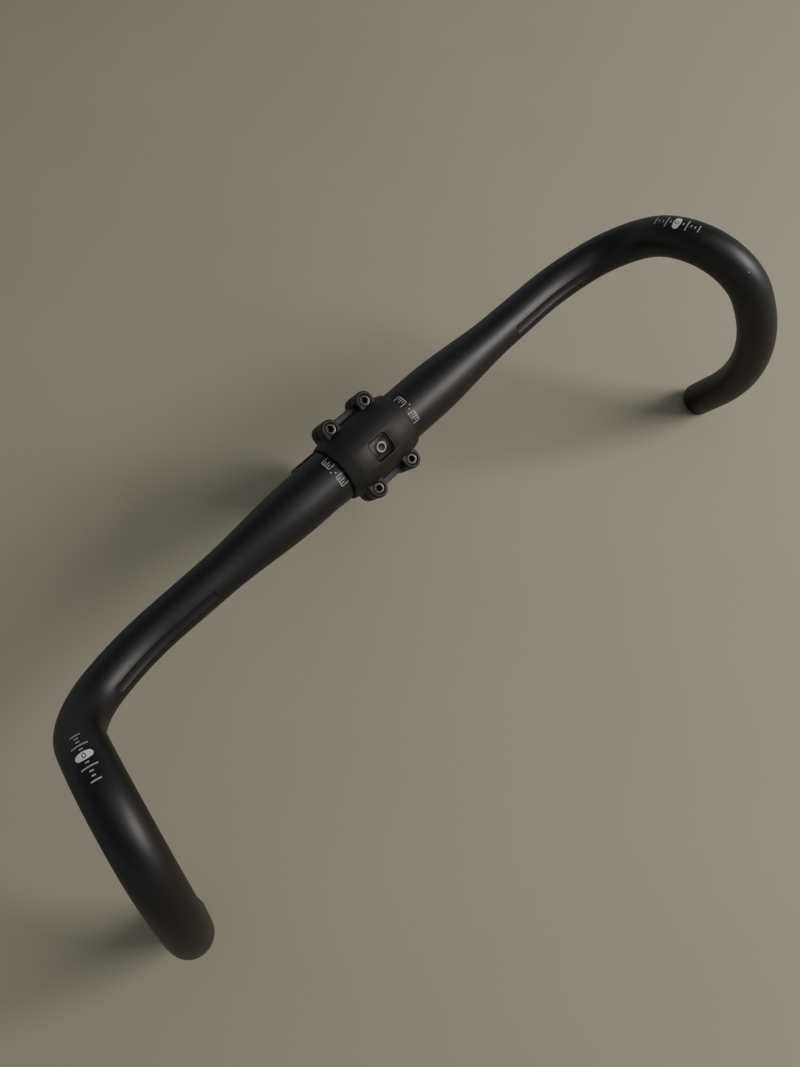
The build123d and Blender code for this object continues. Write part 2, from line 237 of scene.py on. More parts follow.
def makeBadgeFinish(v):
    # die-cast zinc under satin nickel: dark grey metal, its raised ring rubbed paler
    mat, tree, shader = newMaterial("satinNickelCastZinc", Metallic=0.75)
    where = addNode(tree, "ShaderNodeTexCoord", {}, {}).outputs["Object"]
    axis = outward * cos(radians(v["turn"])) + below * sin(radians(v["turn"]))
    offset = addNode(tree, "ShaderNodeVectorMath", {"operation": "SUBTRACT"}, {0: where, 1: clampCentre})
    wide = addNode(tree, "ShaderNodeVectorMath", {"operation": "CROSS_PRODUCT"},
                   {0: offset.outputs[0], 1: axis})
    radius = addNode(tree, "ShaderNodeVectorMath", {"operation": "LENGTH"}, {0: wide.outputs[0]})
    middle = (v["ringRadius"] - v["ringWidth"] / 2) * mm
    onRing = addNode(tree, "ShaderNodeMath", {"operation": "COMPARE"},
                     {0: radius.outputs["Value"], 1: middle, 2: v["ringWidth"] / 2 * mm})
    grain = addNode(tree, "ShaderNodeTexNoise", {},
                    {"Vector": where, "Scale": 1 / (v["grain"] * mm), "Detail": 3.0})
    base = addNode(tree, "ShaderNodeMix", {"data_type": "RGBA"},
                   {"Factor": grain.outputs["Fac"], 6: linear(v["nickel"][0]), 7: linear(v["nickel"][1])})
    colour = addNode(tree, "ShaderNodeMix", {"data_type": "RGBA"},
                     {"Factor": onRing.outputs[0], 6: base.outputs[2], 7: linear(v["paleMix"])})
    tree.links.new(colour.outputs[2], shader.inputs["Base Color"])
    rough = addNode(tree, "ShaderNodeMapRange", {},
                    {"Value": grain.outputs["Fac"], "To Min": v["shiny"], "To Max": v["dull"]})
    tree.links.new(rough.outputs[0], shader.inputs["Roughness"])
    soft = addNode(tree, "ShaderNodeBevel", {"samples": 6}, {"Radius": v["edge"] * mm})
    tree.links.new(soft.outputs[0], shader.inputs["Normal"])
    return mat


badgeMat = makeBadgeFinish(badgeFinish)
print("materials made")

# millimetres and degrees, the bar's own design
barSizes = {
    "clampRadius": 15.9, "topsRadius": 12.2, "gripRadius": 11.9,
    "centreWall": 2.3, "gripWall": 1.8,
    "clampHalf": 50.0, "taperEnd": 116.0, "topsHalf": 147.0,
    "sweep": 24.0, "sweepRadius": 110.0, "cornerRadius": 38.5,
    "rampRise": 2.5, "toe": 3.0, "flare": 13.5,
    "hookRadius": 44.5, "hookTurn": 102.0, "dropRadius": 130.0, "dropTurn": 52.0, "dropStraight": 25.0,
    "channelStart": 120.0, "channelTurn": 99.0, "channelHalfAngle": 13.5, "channelDepth": 0.8,
    "channelLip": 0.02, "sides": 80, "step": 2.0, "taperSteps": 24, "crease": 22,
}


def hookHeading(v, angle):
    ahead = Vector((sin(radians(v["toe"])), cos(radians(v["toe"])), 0))
    down = Vector((sin(radians(v["flare"])), 0, -cos(radians(v["flare"]))))
    down = (down - ahead * down.dot(ahead)).normalized()
    return ahead * cos(radians(angle)) + down * sin(radians(angle))


def halfRoute(v):
    # (length along, point, heading) from the middle of the bar to its right end
    stations = []
    lengths = [0, v["clampHalf"]]
    taper = v["taperEnd"] - v["clampHalf"]
    count = v["taperSteps"]
    lengths += [v["clampHalf"] + taper * k / count for k in range(1, count + 1)]
    edge, lip = v["channelStart"], v["channelLip"]
    lengths += [edge - lip, edge + lip, (edge + v["topsHalf"]) / 2, v["topsHalf"]]
    for x in lengths:
        stations.append((x, Vector((x, 0, 0)), Vector((1, 0, 0))))
    climb = -v["rampRise"]
    turns = [climb, climb + v["hookTurn"], climb + v["hookTurn"] + v["dropTurn"]]
    headings = [Vector((cos(radians(v["sweep"])), sin(radians(v["sweep"])), 0))]
    headings += [hookHeading(v, t) for t in turns]
    radii = [v["sweepRadius"], v["cornerRadius"], v["hookRadius"], v["dropRadius"]]
    along, point, heading = v["topsHalf"], Vector((v["topsHalf"], 0, 0)), Vector((1, 0, 0))
    for new, radius in zip(headings, radii):
        turn = heading.angle(new)
        side = (new - heading * cos(turn)).normalized()
        count = max(4, round(turn * radius / v["step"]))
        for k in range(1, count + 1):
            t = turn * k / count
            here = point + heading * (radius * sin(t)) + side * (radius * (1 - cos(t)))
            stations.append((along + radius * t, here, heading * cos(t) + side * sin(t)))
        along, point, heading = stations[-1]
    end = point + heading * v["dropStraight"]
    stations.append((along + v["dropStraight"] / 2, (point + end) / 2, heading))
    stations.append((along + v["dropStraight"], end, heading))
    return stations


def smoothStep(a, b, t):
    # eases from a to b as t goes from 0 to 1
    t = min(1, max(0, t))
    return a + (b - a) * t * t * (3 - 2 * t)


def buildPath(v):
    # rows of (along, point, ref, side, radius, wall, grooved) from the left end to the right
    half = halfRoute(v)
    refs = [Vector((0, 0, 1))]
    for (_, _, h0), (_, _, h1) in zip(half, half[1:]):
        turned = h0.rotation_difference(h1) @ refs[-1]
        refs.append((turned - h1 * turned.dot(h1)).normalized())
    sweepEnd = v["topsHalf"] + v["sweepRadius"] * radians(v["sweep"])
    rows = []
    for sign in (-1, 1):
        part = list(zip(half, refs))
        part = part[:0:-1] if sign < 0 else part
        for (along, point, heading), ref in part:
            taper = (along - v["clampHalf"]) / (v["taperEnd"] - v["clampHalf"])
            tops = (along - v["taperEnd"]) / (v["topsHalf"] - v["taperEnd"])
            radius = smoothStep(v["clampRadius"], v["topsRadius"], taper)
            radius -= (v["topsRadius"] - v["gripRadius"]) * min(1, max(0, tops))
            wall = smoothStep(v["centreWall"], v["gripWall"], taper)
            grooved = 1.0 if v["channelStart"] < along < sweepEnd + v["channelLip"] / 2 else 0.0
            mirror = Vector((sign, 1, 1))
            head = heading * mirror * sign
            up = ref * mirror
            rows.append((sign * along, point * mirror, up, up.cross(head), radius, wall, grooved))
    return rows


def placed(local):
    # bar-frame direction (x across, y forward, z up) turned into the model's frame
    return across * local.x + forward * local.y + upward * local.z


def pointMesh(name, verts, edges, floats, vectors):
    mesh = bpy.data.meshes.new(name)
    mesh.from_pydata(verts, edges, [])
    for key, values in floats.items():
        mesh.attributes.new(key, "FLOAT", "POINT").data.foreach_set("value", values)
    for key, values in vectors.items():
        flat = [c for value in values for c in value]
        mesh.attributes.new(key, "FLOAT_VECTOR", "POINT").data.foreach_set("vector", flat)
    ob = bpy.data.objects.new(name, mesh)
    bpy.context.scene.collection.objects.link(ob)
    return ob


pathRows = buildPath(barSizes)
pathCentres = [clampCentre + placed(row[1]) * mm for row in pathRows]
pathLinks = [(k, k + 1) for k in range(len(pathRows) - 1)]
barPath = pointMesh(
    "barPath", pathCentres, pathLinks,
    {"skin": [row[4] * mm for row in pathRows], "wall": [row[5] * mm for row in pathRows],
     "grooved": [row[6] for row in pathRows]},
    {"centre": pathCentres, "ref": [placed(row[2]) for row in pathRows],
     "side": [placed(row[3]) for row in pathRows]},
)
halfLength = pathRows[-1][0]
print("bar route", round(2 * halfLength), "mm")


def newTree(name, inputs):
    tree = bpy.data.node_groups.new(name, "GeometryNodeTree")
    tree.interface.new_socket("Geometry", in_out="INPUT", socket_type="NodeSocketGeometry")
    for label, kind in inputs:
        tree.interface.new_socket(label, in_out="INPUT", socket_type="NodeSocket" + kind)
    tree.interface.new_socket("Geometry", in_out="OUTPUT", socket_type="NodeSocketGeometry")
    return tree, addNode(tree, "NodeGroupInput", {}, {}).outputs


def grow(ob, tree, values, name):
    # runs a tree on an object and returns the result as a plain mesh object
    mod = ob.modifiers.new("nodes", "NODES")
    mod.node_group = tree
    for item in tree.interface.items_tree:
        if item.in_out == "INPUT" and item.name in values:
            mod[item.identifier] = values[item.name]
    graph = bpy.context.evaluated_depsgraph_get()
    mesh = bpy.data.meshes.new_from_object(ob.evaluated_get(graph))
    ob.modifiers.remove(mod)
    mesh.name = name
    made = bpy.data.objects.new(name, mesh)
    bpy.context.scene.collection.objects.link(made)
    return made


# what a point of a mesh can carry
vectorKind = "FLOAT_VECTOR"
numberKind = "FLOAT"


def makeTubeTree():
    tree, given = newTree("sweptTube", [
        ("Sides", "Int"), ("Channel direction", "Vector"), ("Channel edge", "Float"),
        ("Channel depth", "Float"), ("Finish", "Material"),
    ])
    carried = {}
    kinds = {"round": vectorKind, "ref": vectorKind, "side": vectorKind, "centre": vectorKind,
             "skin": numberKind, "wall": numberKind, "grooved": numberKind}
    for name, kind in kinds.items():
        reader = addNode(tree, "GeometryNodeInputNamedAttribute", {"data_type": kind}, {"Name": name})
        carried[name] = reader.outputs["Attribute"]
    curve = addNode(tree, "GeometryNodeMeshToCurve", {}, {"Mesh": given["Geometry"]})
    ring = addNode(tree, "GeometryNodeCurvePrimitiveCircle", {},
                   {"Resolution": given["Sides"], "Radius": 1.0})
    spot = addNode(tree, "GeometryNodeInputPosition", {}, {})
    marked = addNode(tree, "GeometryNodeStoreNamedAttribute",
                     {"data_type": "FLOAT_VECTOR", "domain": "POINT"},
                     {"Geometry": ring.outputs["Curve"], "Name": "round", "Value": spot.outputs[0]})
    skin = addNode(tree, "GeometryNodeCurveToMesh", {},
                   {"Curve": curve.outputs[0], "Profile Curve": marked.outputs[0]})
    turn = addNode(tree, "ShaderNodeSeparateXYZ", {}, {0: carried["round"]})
    refPart = addNode(tree, "ShaderNodeVectorMath", {"operation": "SCALE"},
                      {0: carried["ref"], "Scale": turn.outputs[0]})
    sidePart = addNode(tree, "ShaderNodeVectorMath", {"operation": "SCALE"},
                       {0: carried["side"], "Scale": turn.outputs[1]})
    radial = addNode(tree, "ShaderNodeVectorMath", {"operation": "ADD"},
                     {0: refPart.outputs[0], 1: sidePart.outputs[0]})
    nearness = addNode(tree, "ShaderNodeVectorMath", {"operation": "DOT_PRODUCT"},
                       {0: carried["round"], 1: given["Channel direction"]})
    deep = addNode(tree, "ShaderNodeMath", {"operation": "MULTIPLY"},
                   {0: given["Channel depth"], 1: carried["grooved"]})
    dip = addNode(tree, "ShaderNodeMapRange", {},
                  {"Value": nearness.outputs["Value"], "From Min": given["Channel edge"], "From Max": 1.0,
                   "To Min": 0.0, "To Max": deep.outputs[0]})
    reach = addNode(tree, "ShaderNodeMath", {"operation": "SUBTRACT"},
                    {0: carried["skin"], 1: dip.outputs[0]})
    shift = addNode(tree, "ShaderNodeVectorMath", {"operation": "SCALE"},
                    {0: radial.outputs[0], "Scale": reach.outputs[0]})
    place = addNode(tree, "ShaderNodeVectorMath", {"operation": "ADD"},
                    {0: carried["centre"], 1: shift.outputs[0]})
    shaped = addNode(tree, "GeometryNodeSetPosition", {},
                     {"Geometry": skin.outputs[0], "Position": place.outputs[0]})
    # wall: a copy pushed inwards, turned over and joined at the two open ends
    inward = addNode(tree, "ShaderNodeVectorMath", {"operation": "SCALE"},
                     {0: radial.outputs[0], "Scale": -1.0})
    inner = addNode(tree, "GeometryNodeExtrudeMesh", {"mode": "FACES"},
                    {"Mesh": shaped.outputs[0], "Offset": inward.outputs[0], "Individual": False,
                     "Offset Scale": carried["wall"]})
    turned = addNode(tree, "GeometryNodeFlipFaces", {}, {"Mesh": inner.outputs["Mesh"]})
    both = addNode(tree, "GeometryNodeJoinGeometry", {}, {})
    tree.links.new(shaped.outputs[0], both.inputs[0])
    tree.links.new(turned.outputs[0], both.inputs[0])
    closed = addNode(tree, "GeometryNodeMergeByDistance", {},
                     {"Geometry": both.outputs[0], "Distance": weld})
    real = addNode(tree, "GeometryNodeRealizeInstances", {}, {"Geometry": closed.outputs[0]})
    done = addNode(tree, "GeometryNodeSetMaterial", {},
                   {"Geometry": real.outputs[0], "Material": given["Finish"]})
    addNode(tree, "NodeGroupOutput", {}, {0: done.outputs[0]})
    return tree


def tidyMesh(ob, creaseDegrees):
    # points the faces outwards, smooths them and keeps the sharp edges sharp
    work = bmesh.new()
    work.from_mesh(ob.data)
    if work.calc_volume(signed=True) < 0:
        bmesh.ops.reverse_faces(work, faces=work.faces)
    for face in work.faces:
        face.smooth = True
    for edge in work.edges:
        edge.smooth = not (edge.is_manifold and edge.calc_face_angle(0) > radians(creaseDegrees))
    openEdges = sum(1 for edge in work.edges if not edge.is_manifold)
    work.to_mesh(ob.data)
    work.free()
    print(ob.name, len(ob.data.polygons), "faces,", openEdges, "open edges")


channelTurn = radians(barSizes["channelTurn"])
barTube = grow(barPath, makeTubeTree(), {
    "Sides": barSizes["sides"],
    "Channel direction": (cos(channelTurn), sin(channelTurn), 0),
    "Channel edge": cos(radians(barSizes["channelHalfAngle"])),
    "Channel depth": barSizes["channelDepth"] * mm,
    "Finish": barMat,
}, "barTube")
tidyMesh(barTube, barSizes["crease"])
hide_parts("handlebar")
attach(barTube, "bar")
print("bar tube made")

# millimetres along the bar and round it, and degrees round the clamp
markSizes = {
    "ink": 0.03, "sunk": 0.05, "gridPoints": 11, "crease": 30,
    "badgeAlong": 254.4, "badgeTurn": 10.7, "badgeLong": 3.6, "badgeWide": 8.4, "badgeRound": 0.75,
    "numeralLong": 2.5, "numeralWide": 1.9, "numeralRound": 0.95,
    "holeLong": 1.6, "holeWide": 1.0,
    "firstTick": 3.2, "tickStep": 1.9, "tickThick": 0.6,
    "tickLengths": (1.9, 7.9, 1.9, 1.9, 5.0),
    "combAlong": 30.6, "combThick": 0.42, "combs": [(28.0, 49.0), (71.0, 93.0)],
    "prongs": (5.0, 2.5, 3.75, 2.5, 5.0), "prongLevel": 1.3,
    "dotSize": 0.9, "dotTurn": 3.2, "dotInset": 0.6, "dotSlant": 0.96,
}


def listMarks(v):
    # (along, turn, lift level, half along, half around, roundness, tone) for the right side
    grey, white, dark = 0, 1, 2
    marks = []
    turn = radians(v["badgeTurn"])
    middle = v["badgeAlong"]
    marks.append((middle, turn, 1, v["badgeLong"] / 2, v["badgeWide"] / 2, v["badgeRound"], white))
    marks.append((middle, turn, 2, v["numeralLong"] / 2, v["numeralWide"] / 2, v["numeralRound"], dark))
    marks.append((middle, turn, 3, v["holeLong"] / 2, v["holeWide"] / 2, v["numeralRound"], white))
    for k, size in enumerate(v["tickLengths"]):
        for sign in (-1, 1):
            here = middle + sign * (v["firstTick"] + k * v["tickStep"])
            marks.append((here, turn, 1, v["tickThick"] / 2, size / 2, 0.0, grey))
    for start, end in v["combs"]:
        span = radians(end - start) * barSizes["clampRadius"]
        back = radians((start + end) / 2)
        marks.append((v["combAlong"], back, 1, v["combThick"] / 2, span / 2, 0.0, grey))
        for k, length in enumerate(v["prongs"]):
            here = v["combAlong"] - length / 2
            prongTurn = radians(start + (end - start) * k / (len(v["prongs"]) - 1))
            marks.append((here, prongTurn, v["prongLevel"], length / 2, v["combThick"] / 2, 0.0, grey))
    gap = (v["combs"][0][1] + v["combs"][1][0]) / 2
    for sign in (-1, 1):
        here = v["combAlong"] - v["dotInset"] - sign * v["dotSlant"]
        dotTurn = radians(gap + sign * v["dotTurn"])
        marks.append((here, dotTurn, 1, v["dotSize"] / 2, v["dotSize"] / 2, 1.0, grey))
    return marks


def makeMarkTree():
    tree, given = newTree("printedMarks", [
        ("Path", "Object"), ("Half length", "Float"), ("Grid points", "Int"), ("Ink thickness", "Float"),
        ("Sunk", "Float"), ("Grey ink", "Material"), ("White ink", "Material"), ("Dark ink", "Material"),
    ])
    carried = {}
    kinds = {"flat": vectorKind, "half": vectorKind, "spot": vectorKind, "place": vectorKind,
             "outwards": vectorKind, "centre": vectorKind, "ref": vectorKind, "side": vectorKind,
             "skin": numberKind, "roundness": numberKind, "tone": numberKind}
    for name, kind in kinds.items():
        reader = addNode(tree, "GeometryNodeInputNamedAttribute", {"data_type": kind}, {"Name": name})
        carried[name] = reader.outputs["Attribute"]
    here = addNode(tree, "GeometryNodeInputPosition", {}, {}).outputs[0]
    patch = addNode(tree, "GeometryNodeMeshGrid", {},
                    {"Size X": 2.0, "Size Y": 2.0, "Vertices X": given["Grid points"],
                     "Vertices Y": given["Grid points"]})
    flat = addNode(tree, "GeometryNodeStoreNamedAttribute",
                   {"data_type": "FLOAT_VECTOR", "domain": "POINT"},
                   {"Geometry": patch.outputs["Mesh"], "Name": "flat", "Value": here})
    spots = addNode(tree, "GeometryNodeStoreNamedAttribute",
                    {"data_type": "FLOAT_VECTOR", "domain": "POINT"},
                    {"Geometry": given["Geometry"], "Name": "spot", "Value": here})
    copies = addNode(tree, "GeometryNodeInstanceOnPoints", {},
                     {"Points": spots.outputs[0], "Instance": flat.outputs[0]})
    patches = addNode(tree, "GeometryNodeRealizeInstances", {}, {"Geometry": copies.outputs[0]})
    # round the square patches towards discs: this share of its reach takes a corner onto the circle
    cornerPull = 0.293
    squared = addNode(tree, "ShaderNodeVectorMath", {"operation": "MULTIPLY"},
                      {0: carried["flat"], 1: carried["flat"]})
    squares = addNode(tree, "ShaderNodeSeparateXYZ", {}, {0: squared.outputs[0]})
    swapped = addNode(tree, "ShaderNodeCombineXYZ", {}, {"X": squares.outputs[1], "Y": squares.outputs[0]})
    pull = addNode(tree, "ShaderNodeMath", {"operation": "MULTIPLY"},
                   {0: carried["roundness"], 1: cornerPull})
    cut = addNode(tree, "ShaderNodeVectorMath", {"operation": "SCALE"},
                  {0: swapped.outputs[0], "Scale": pull.outputs[0]})
    keep = addNode(tree, "ShaderNodeVectorMath", {"operation": "SUBTRACT"},
                   {0: (1, 1, 1), 1: cut.outputs[0]})
    rounded = addNode(tree, "ShaderNodeVectorMath", {"operation": "MULTIPLY"},
                      {0: carried["flat"], 1: keep.outputs[0]})
    sized = addNode(tree, "ShaderNodeVectorMath", {"operation": "MULTIPLY"},
                    {0: rounded.outputs[0], 1: carried["half"]})
    local = addNode(tree, "ShaderNodeSeparateXYZ", {}, {0: sized.outputs[0]})
    spot = addNode(tree, "ShaderNodeSeparateXYZ", {}, {0: carried["spot"]})
    along = addNode(tree, "ShaderNodeMath", {"operation": "ADD"}, {0: spot.outputs[0], 1: local.outputs[0]})
    length = addNode(tree, "ShaderNodeMath", {"operation": "ADD"},
                     {0: along.outputs[0], 1: given["Half length"]})
    pathInfo = addNode(tree, "GeometryNodeObjectInfo", {"transform_space": "ORIGINAL"},
                       {"Object": given["Path"]})
    curve = addNode(tree, "GeometryNodeMeshToCurve", {}, {"Mesh": pathInfo.outputs["Geometry"]})
    found = {}
    for name in ("centre", "ref", "side", "skin"):
        sample = addNode(tree, "GeometryNodeSampleCurve", {"mode": "LENGTH", "data_type": kinds[name]},
                         {"Curves": curve.outputs[0], "Value": carried[name], "Length": length.outputs[0]})
        found[name] = sample.outputs["Value"]
    spread = addNode(tree, "ShaderNodeMath", {"operation": "DIVIDE"},
                     {0: local.outputs[1], 1: found["skin"]})
    turn = addNode(tree, "ShaderNodeMath", {"operation": "ADD"}, {0: spot.outputs[1], 1: spread.outputs[0]})
    cosTurn = addNode(tree, "ShaderNodeMath", {"operation": "COSINE"}, {0: turn.outputs[0]})
    sinTurn = addNode(tree, "ShaderNodeMath", {"operation": "SINE"}, {0: turn.outputs[0]})
    refPart = addNode(tree, "ShaderNodeVectorMath", {"operation": "SCALE"},
                      {0: found["ref"], "Scale": cosTurn.outputs[0]})
    sidePart = addNode(tree, "ShaderNodeVectorMath", {"operation": "SCALE"},
                       {0: found["side"], "Scale": sinTurn.outputs[0]})
    radial = addNode(tree, "ShaderNodeVectorMath", {"operation": "ADD"},
                     {0: refPart.outputs[0], 1: sidePart.outputs[0]})
    lift = addNode(tree, "ShaderNodeMath", {"operation": "MULTIPLY_ADD"},
                   {0: spot.outputs[2], 1: given["Ink thickness"], 2: found["skin"]})
    shift = addNode(tree, "ShaderNodeVectorMath", {"operation": "SCALE"},
                    {0: radial.outputs[0], "Scale": lift.outputs[0]})
    place = addNode(tree, "ShaderNodeVectorMath", {"operation": "ADD"},
                    {0: found["centre"], 1: shift.outputs[0]})
    facing = addNode(tree, "GeometryNodeStoreNamedAttribute",
                     {"data_type": "FLOAT_VECTOR", "domain": "POINT"},
                     {"Geometry": patches.outputs[0], "Name": "outwards", "Value": radial.outputs[0]})
    aimed = addNode(tree, "GeometryNodeStoreNamedAttribute",
                    {"data_type": "FLOAT_VECTOR", "domain": "POINT"},
                    {"Geometry": facing.outputs[0], "Name": "place", "Value": place.outputs[0]})
    laid = addNode(tree, "GeometryNodeSetPosition", {},
                   {"Geometry": aimed.outputs[0], "Position": carried["place"]})
    # a thin closed layer of ink, its underside just inside the skin
    depth = addNode(tree, "ShaderNodeMath", {"operation": "MULTIPLY"}, {0: given["Sunk"], 1: -1.0})
    under = addNode(tree, "GeometryNodeExtrudeMesh", {"mode": "FACES"},
                    {"Mesh": laid.outputs[0], "Offset": carried["outwards"],
                     "Offset Scale": depth.outputs[0], "Individual": False})
    turned = addNode(tree, "GeometryNodeFlipFaces", {}, {"Mesh": under.outputs["Mesh"]})
    both = addNode(tree, "GeometryNodeJoinGeometry", {}, {})
    tree.links.new(laid.outputs[0], both.inputs[0])
    tree.links.new(turned.outputs[0], both.inputs[0])
    closed = addNode(tree, "GeometryNodeMergeByDistance", {},
                     {"Geometry": both.outputs[0], "Distance": weld})
    real = addNode(tree, "GeometryNodeRealizeInstances", {}, {"Geometry": closed.outputs[0]})
    flow = real.outputs[0]
    for level, name in enumerate(("Grey ink", "White ink", "Dark ink")):
        isTone = addNode(tree, "FunctionNodeCompare", {"data_type": "FLOAT", "operation": "EQUAL"},
                         {0: carried["tone"], 1: float(level)})
        flow = addNode(tree, "GeometryNodeSetMaterial", {},
                       {"Geometry": flow, "Selection": isTone.outputs[0],
                        "Material": given[name]}).outputs[0]
    addNode(tree, "NodeGroupOutput", {}, {0: flow})
    return tree


def printMarks(v):
    marks = []
    for along, turn, level, halfAlong, halfAround, roundness, tone in listMarks(v):
        half = (halfAlong * mm, halfAround * mm, 0)
        for sign in (-1, 1):
            marks.append(((sign * along * mm, turn, level), half, roundness, float(tone)))
    base = pointMesh("markSpots", [m[0] for m in marks], [],
                     {"roundness": [m[2] for m in marks], "tone": [m[3] for m in marks]},
                     {"half": [m[1] for m in marks]})
    made = grow(base, makeMarkTree(), {
        "Path": barPath, "Half length": halfLength * mm, "Grid points": v["gridPoints"],
        "Ink thickness": v["ink"] * mm, "Sunk": (v["sunk"] + v["ink"]) * mm,
        "Grey ink": greyInk, "White ink": whiteInk, "Dark ink": darkInk,
    }, "barPrint")
    bpy.data.objects.remove(base)
    return made


barPrint = printMarks(markSizes)
tidyMesh(barPrint, markSizes["crease"])
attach(barPrint, "bar")
print("marks printed")

# shares are of the thread size, the rest millimetres, and turns of the sockets radians
boltSizes = {
    "face": {"size": 4.0, "pitch": 0.7, "length": 17.0},
    "pinch": {"size": 5.0, "pitch": 0.8, "length": 14.0},
    "headShare": 0.85, "keyShare": 0.4, "keyDepthShare": 0.55, "threadShare": 0.085,
    "headChamfer": 0.5, "rimRound": (0.35, 0.3), "rimFade": 0.15, "footBevel": (0.2, 0.3),
    "floorShare": 0.9, "keyFlare": 0.25, "keyBevel": 0.3, "socketCone": 0.35, "socketEase": 0.1,
    "ribs": 36, "ribDepth": 0.1, "ribTop": 0.4, "ribFoot": 0.5,
    "fillet": 0.25, "undercut": (0.05, 0.3), "threadStart": 0.8, "threadPlay": 0.02, "threadSteps": 6,
    "tipChamfer": 0.6, "tipRise": 0.25, "sides": 72, "crease": 32,
    "faceSpacingX": 26.6, "faceSpacingY": 42.8, "faceSeat": 6.0, "pinchSeat": 4.5,
    "faceTurn": 0.4, "turnAcross": 0.9, "turnDown": 0.35, "pinchTurns": {"lower": 0.3, "upper": 1.0},
}


def boltProfile(v, bolt):
    # (radius, height, hexagon, ribs, thread, painted rim highlight) from the socket's floor to the tip
    top, length = bolt["size"], bolt["length"]
    floor = top - v["keyDepthShare"] * top
    key, head, shank = v["keyShare"] * top, v["headShare"] * top, top / 2
    bevel = v["headChamfer"]
    edge = top - bevel
    rows = [
        (0, floor - v["socketCone"], 0, 0, 0, 0),
        (key * v["floorShare"], floor, 1, 0, 0, 0),
        (key, floor + v["socketEase"], 1, 0, 0, 0),
        (key, top - v["keyBevel"], 1, 0, 0, 0.2),
        (key + v["keyFlare"], top, 0.8, 0, 0, 0.9),
        (head - 2 * bevel, top, 0, 0, 0, 0.1),
        (head - bevel, top, 0, 0, 0, 0.8),
        (head - bevel * v["rimRound"][0], top - bevel * v["rimRound"][1], 0, 0, 0, 1.3),
        (head, edge, 0, 0, 0, 0.9),
        (head, edge - v["rimFade"], 0, 0, 0, 0.4),
        (head, edge - v["ribTop"], 0, 1, 0, 0.2),
        (head, v["ribFoot"], 0, 1, 0, 0),
        (head, v["footBevel"][1], 0, 0, 0, 0),
        (head - v["footBevel"][0], 0, 0, 0, 0, 0),
        (shank + v["fillet"], 0, 0, 0, 0, 0),
        (shank - v["undercut"][0], -v["undercut"][1], 0, 0, 0, 0),
    ]
    fine = bolt["pitch"] / v["threadSteps"]
    z = -v["threadStart"]
    while z > -length + v["tipChamfer"]:
        rows.append((shank - v["threadPlay"], z, 0, 0, 1, 0.15))
        z -= fine
    rows.append((shank - v["threadShare"] * top, -length + v["tipRise"], 0, 0, 0, 0))
    rows.append((shank - v["tipChamfer"], -length, 0, 0, 0, 0))
    rows.append((0, -length, 0, 0, 0, 0))
    return rows


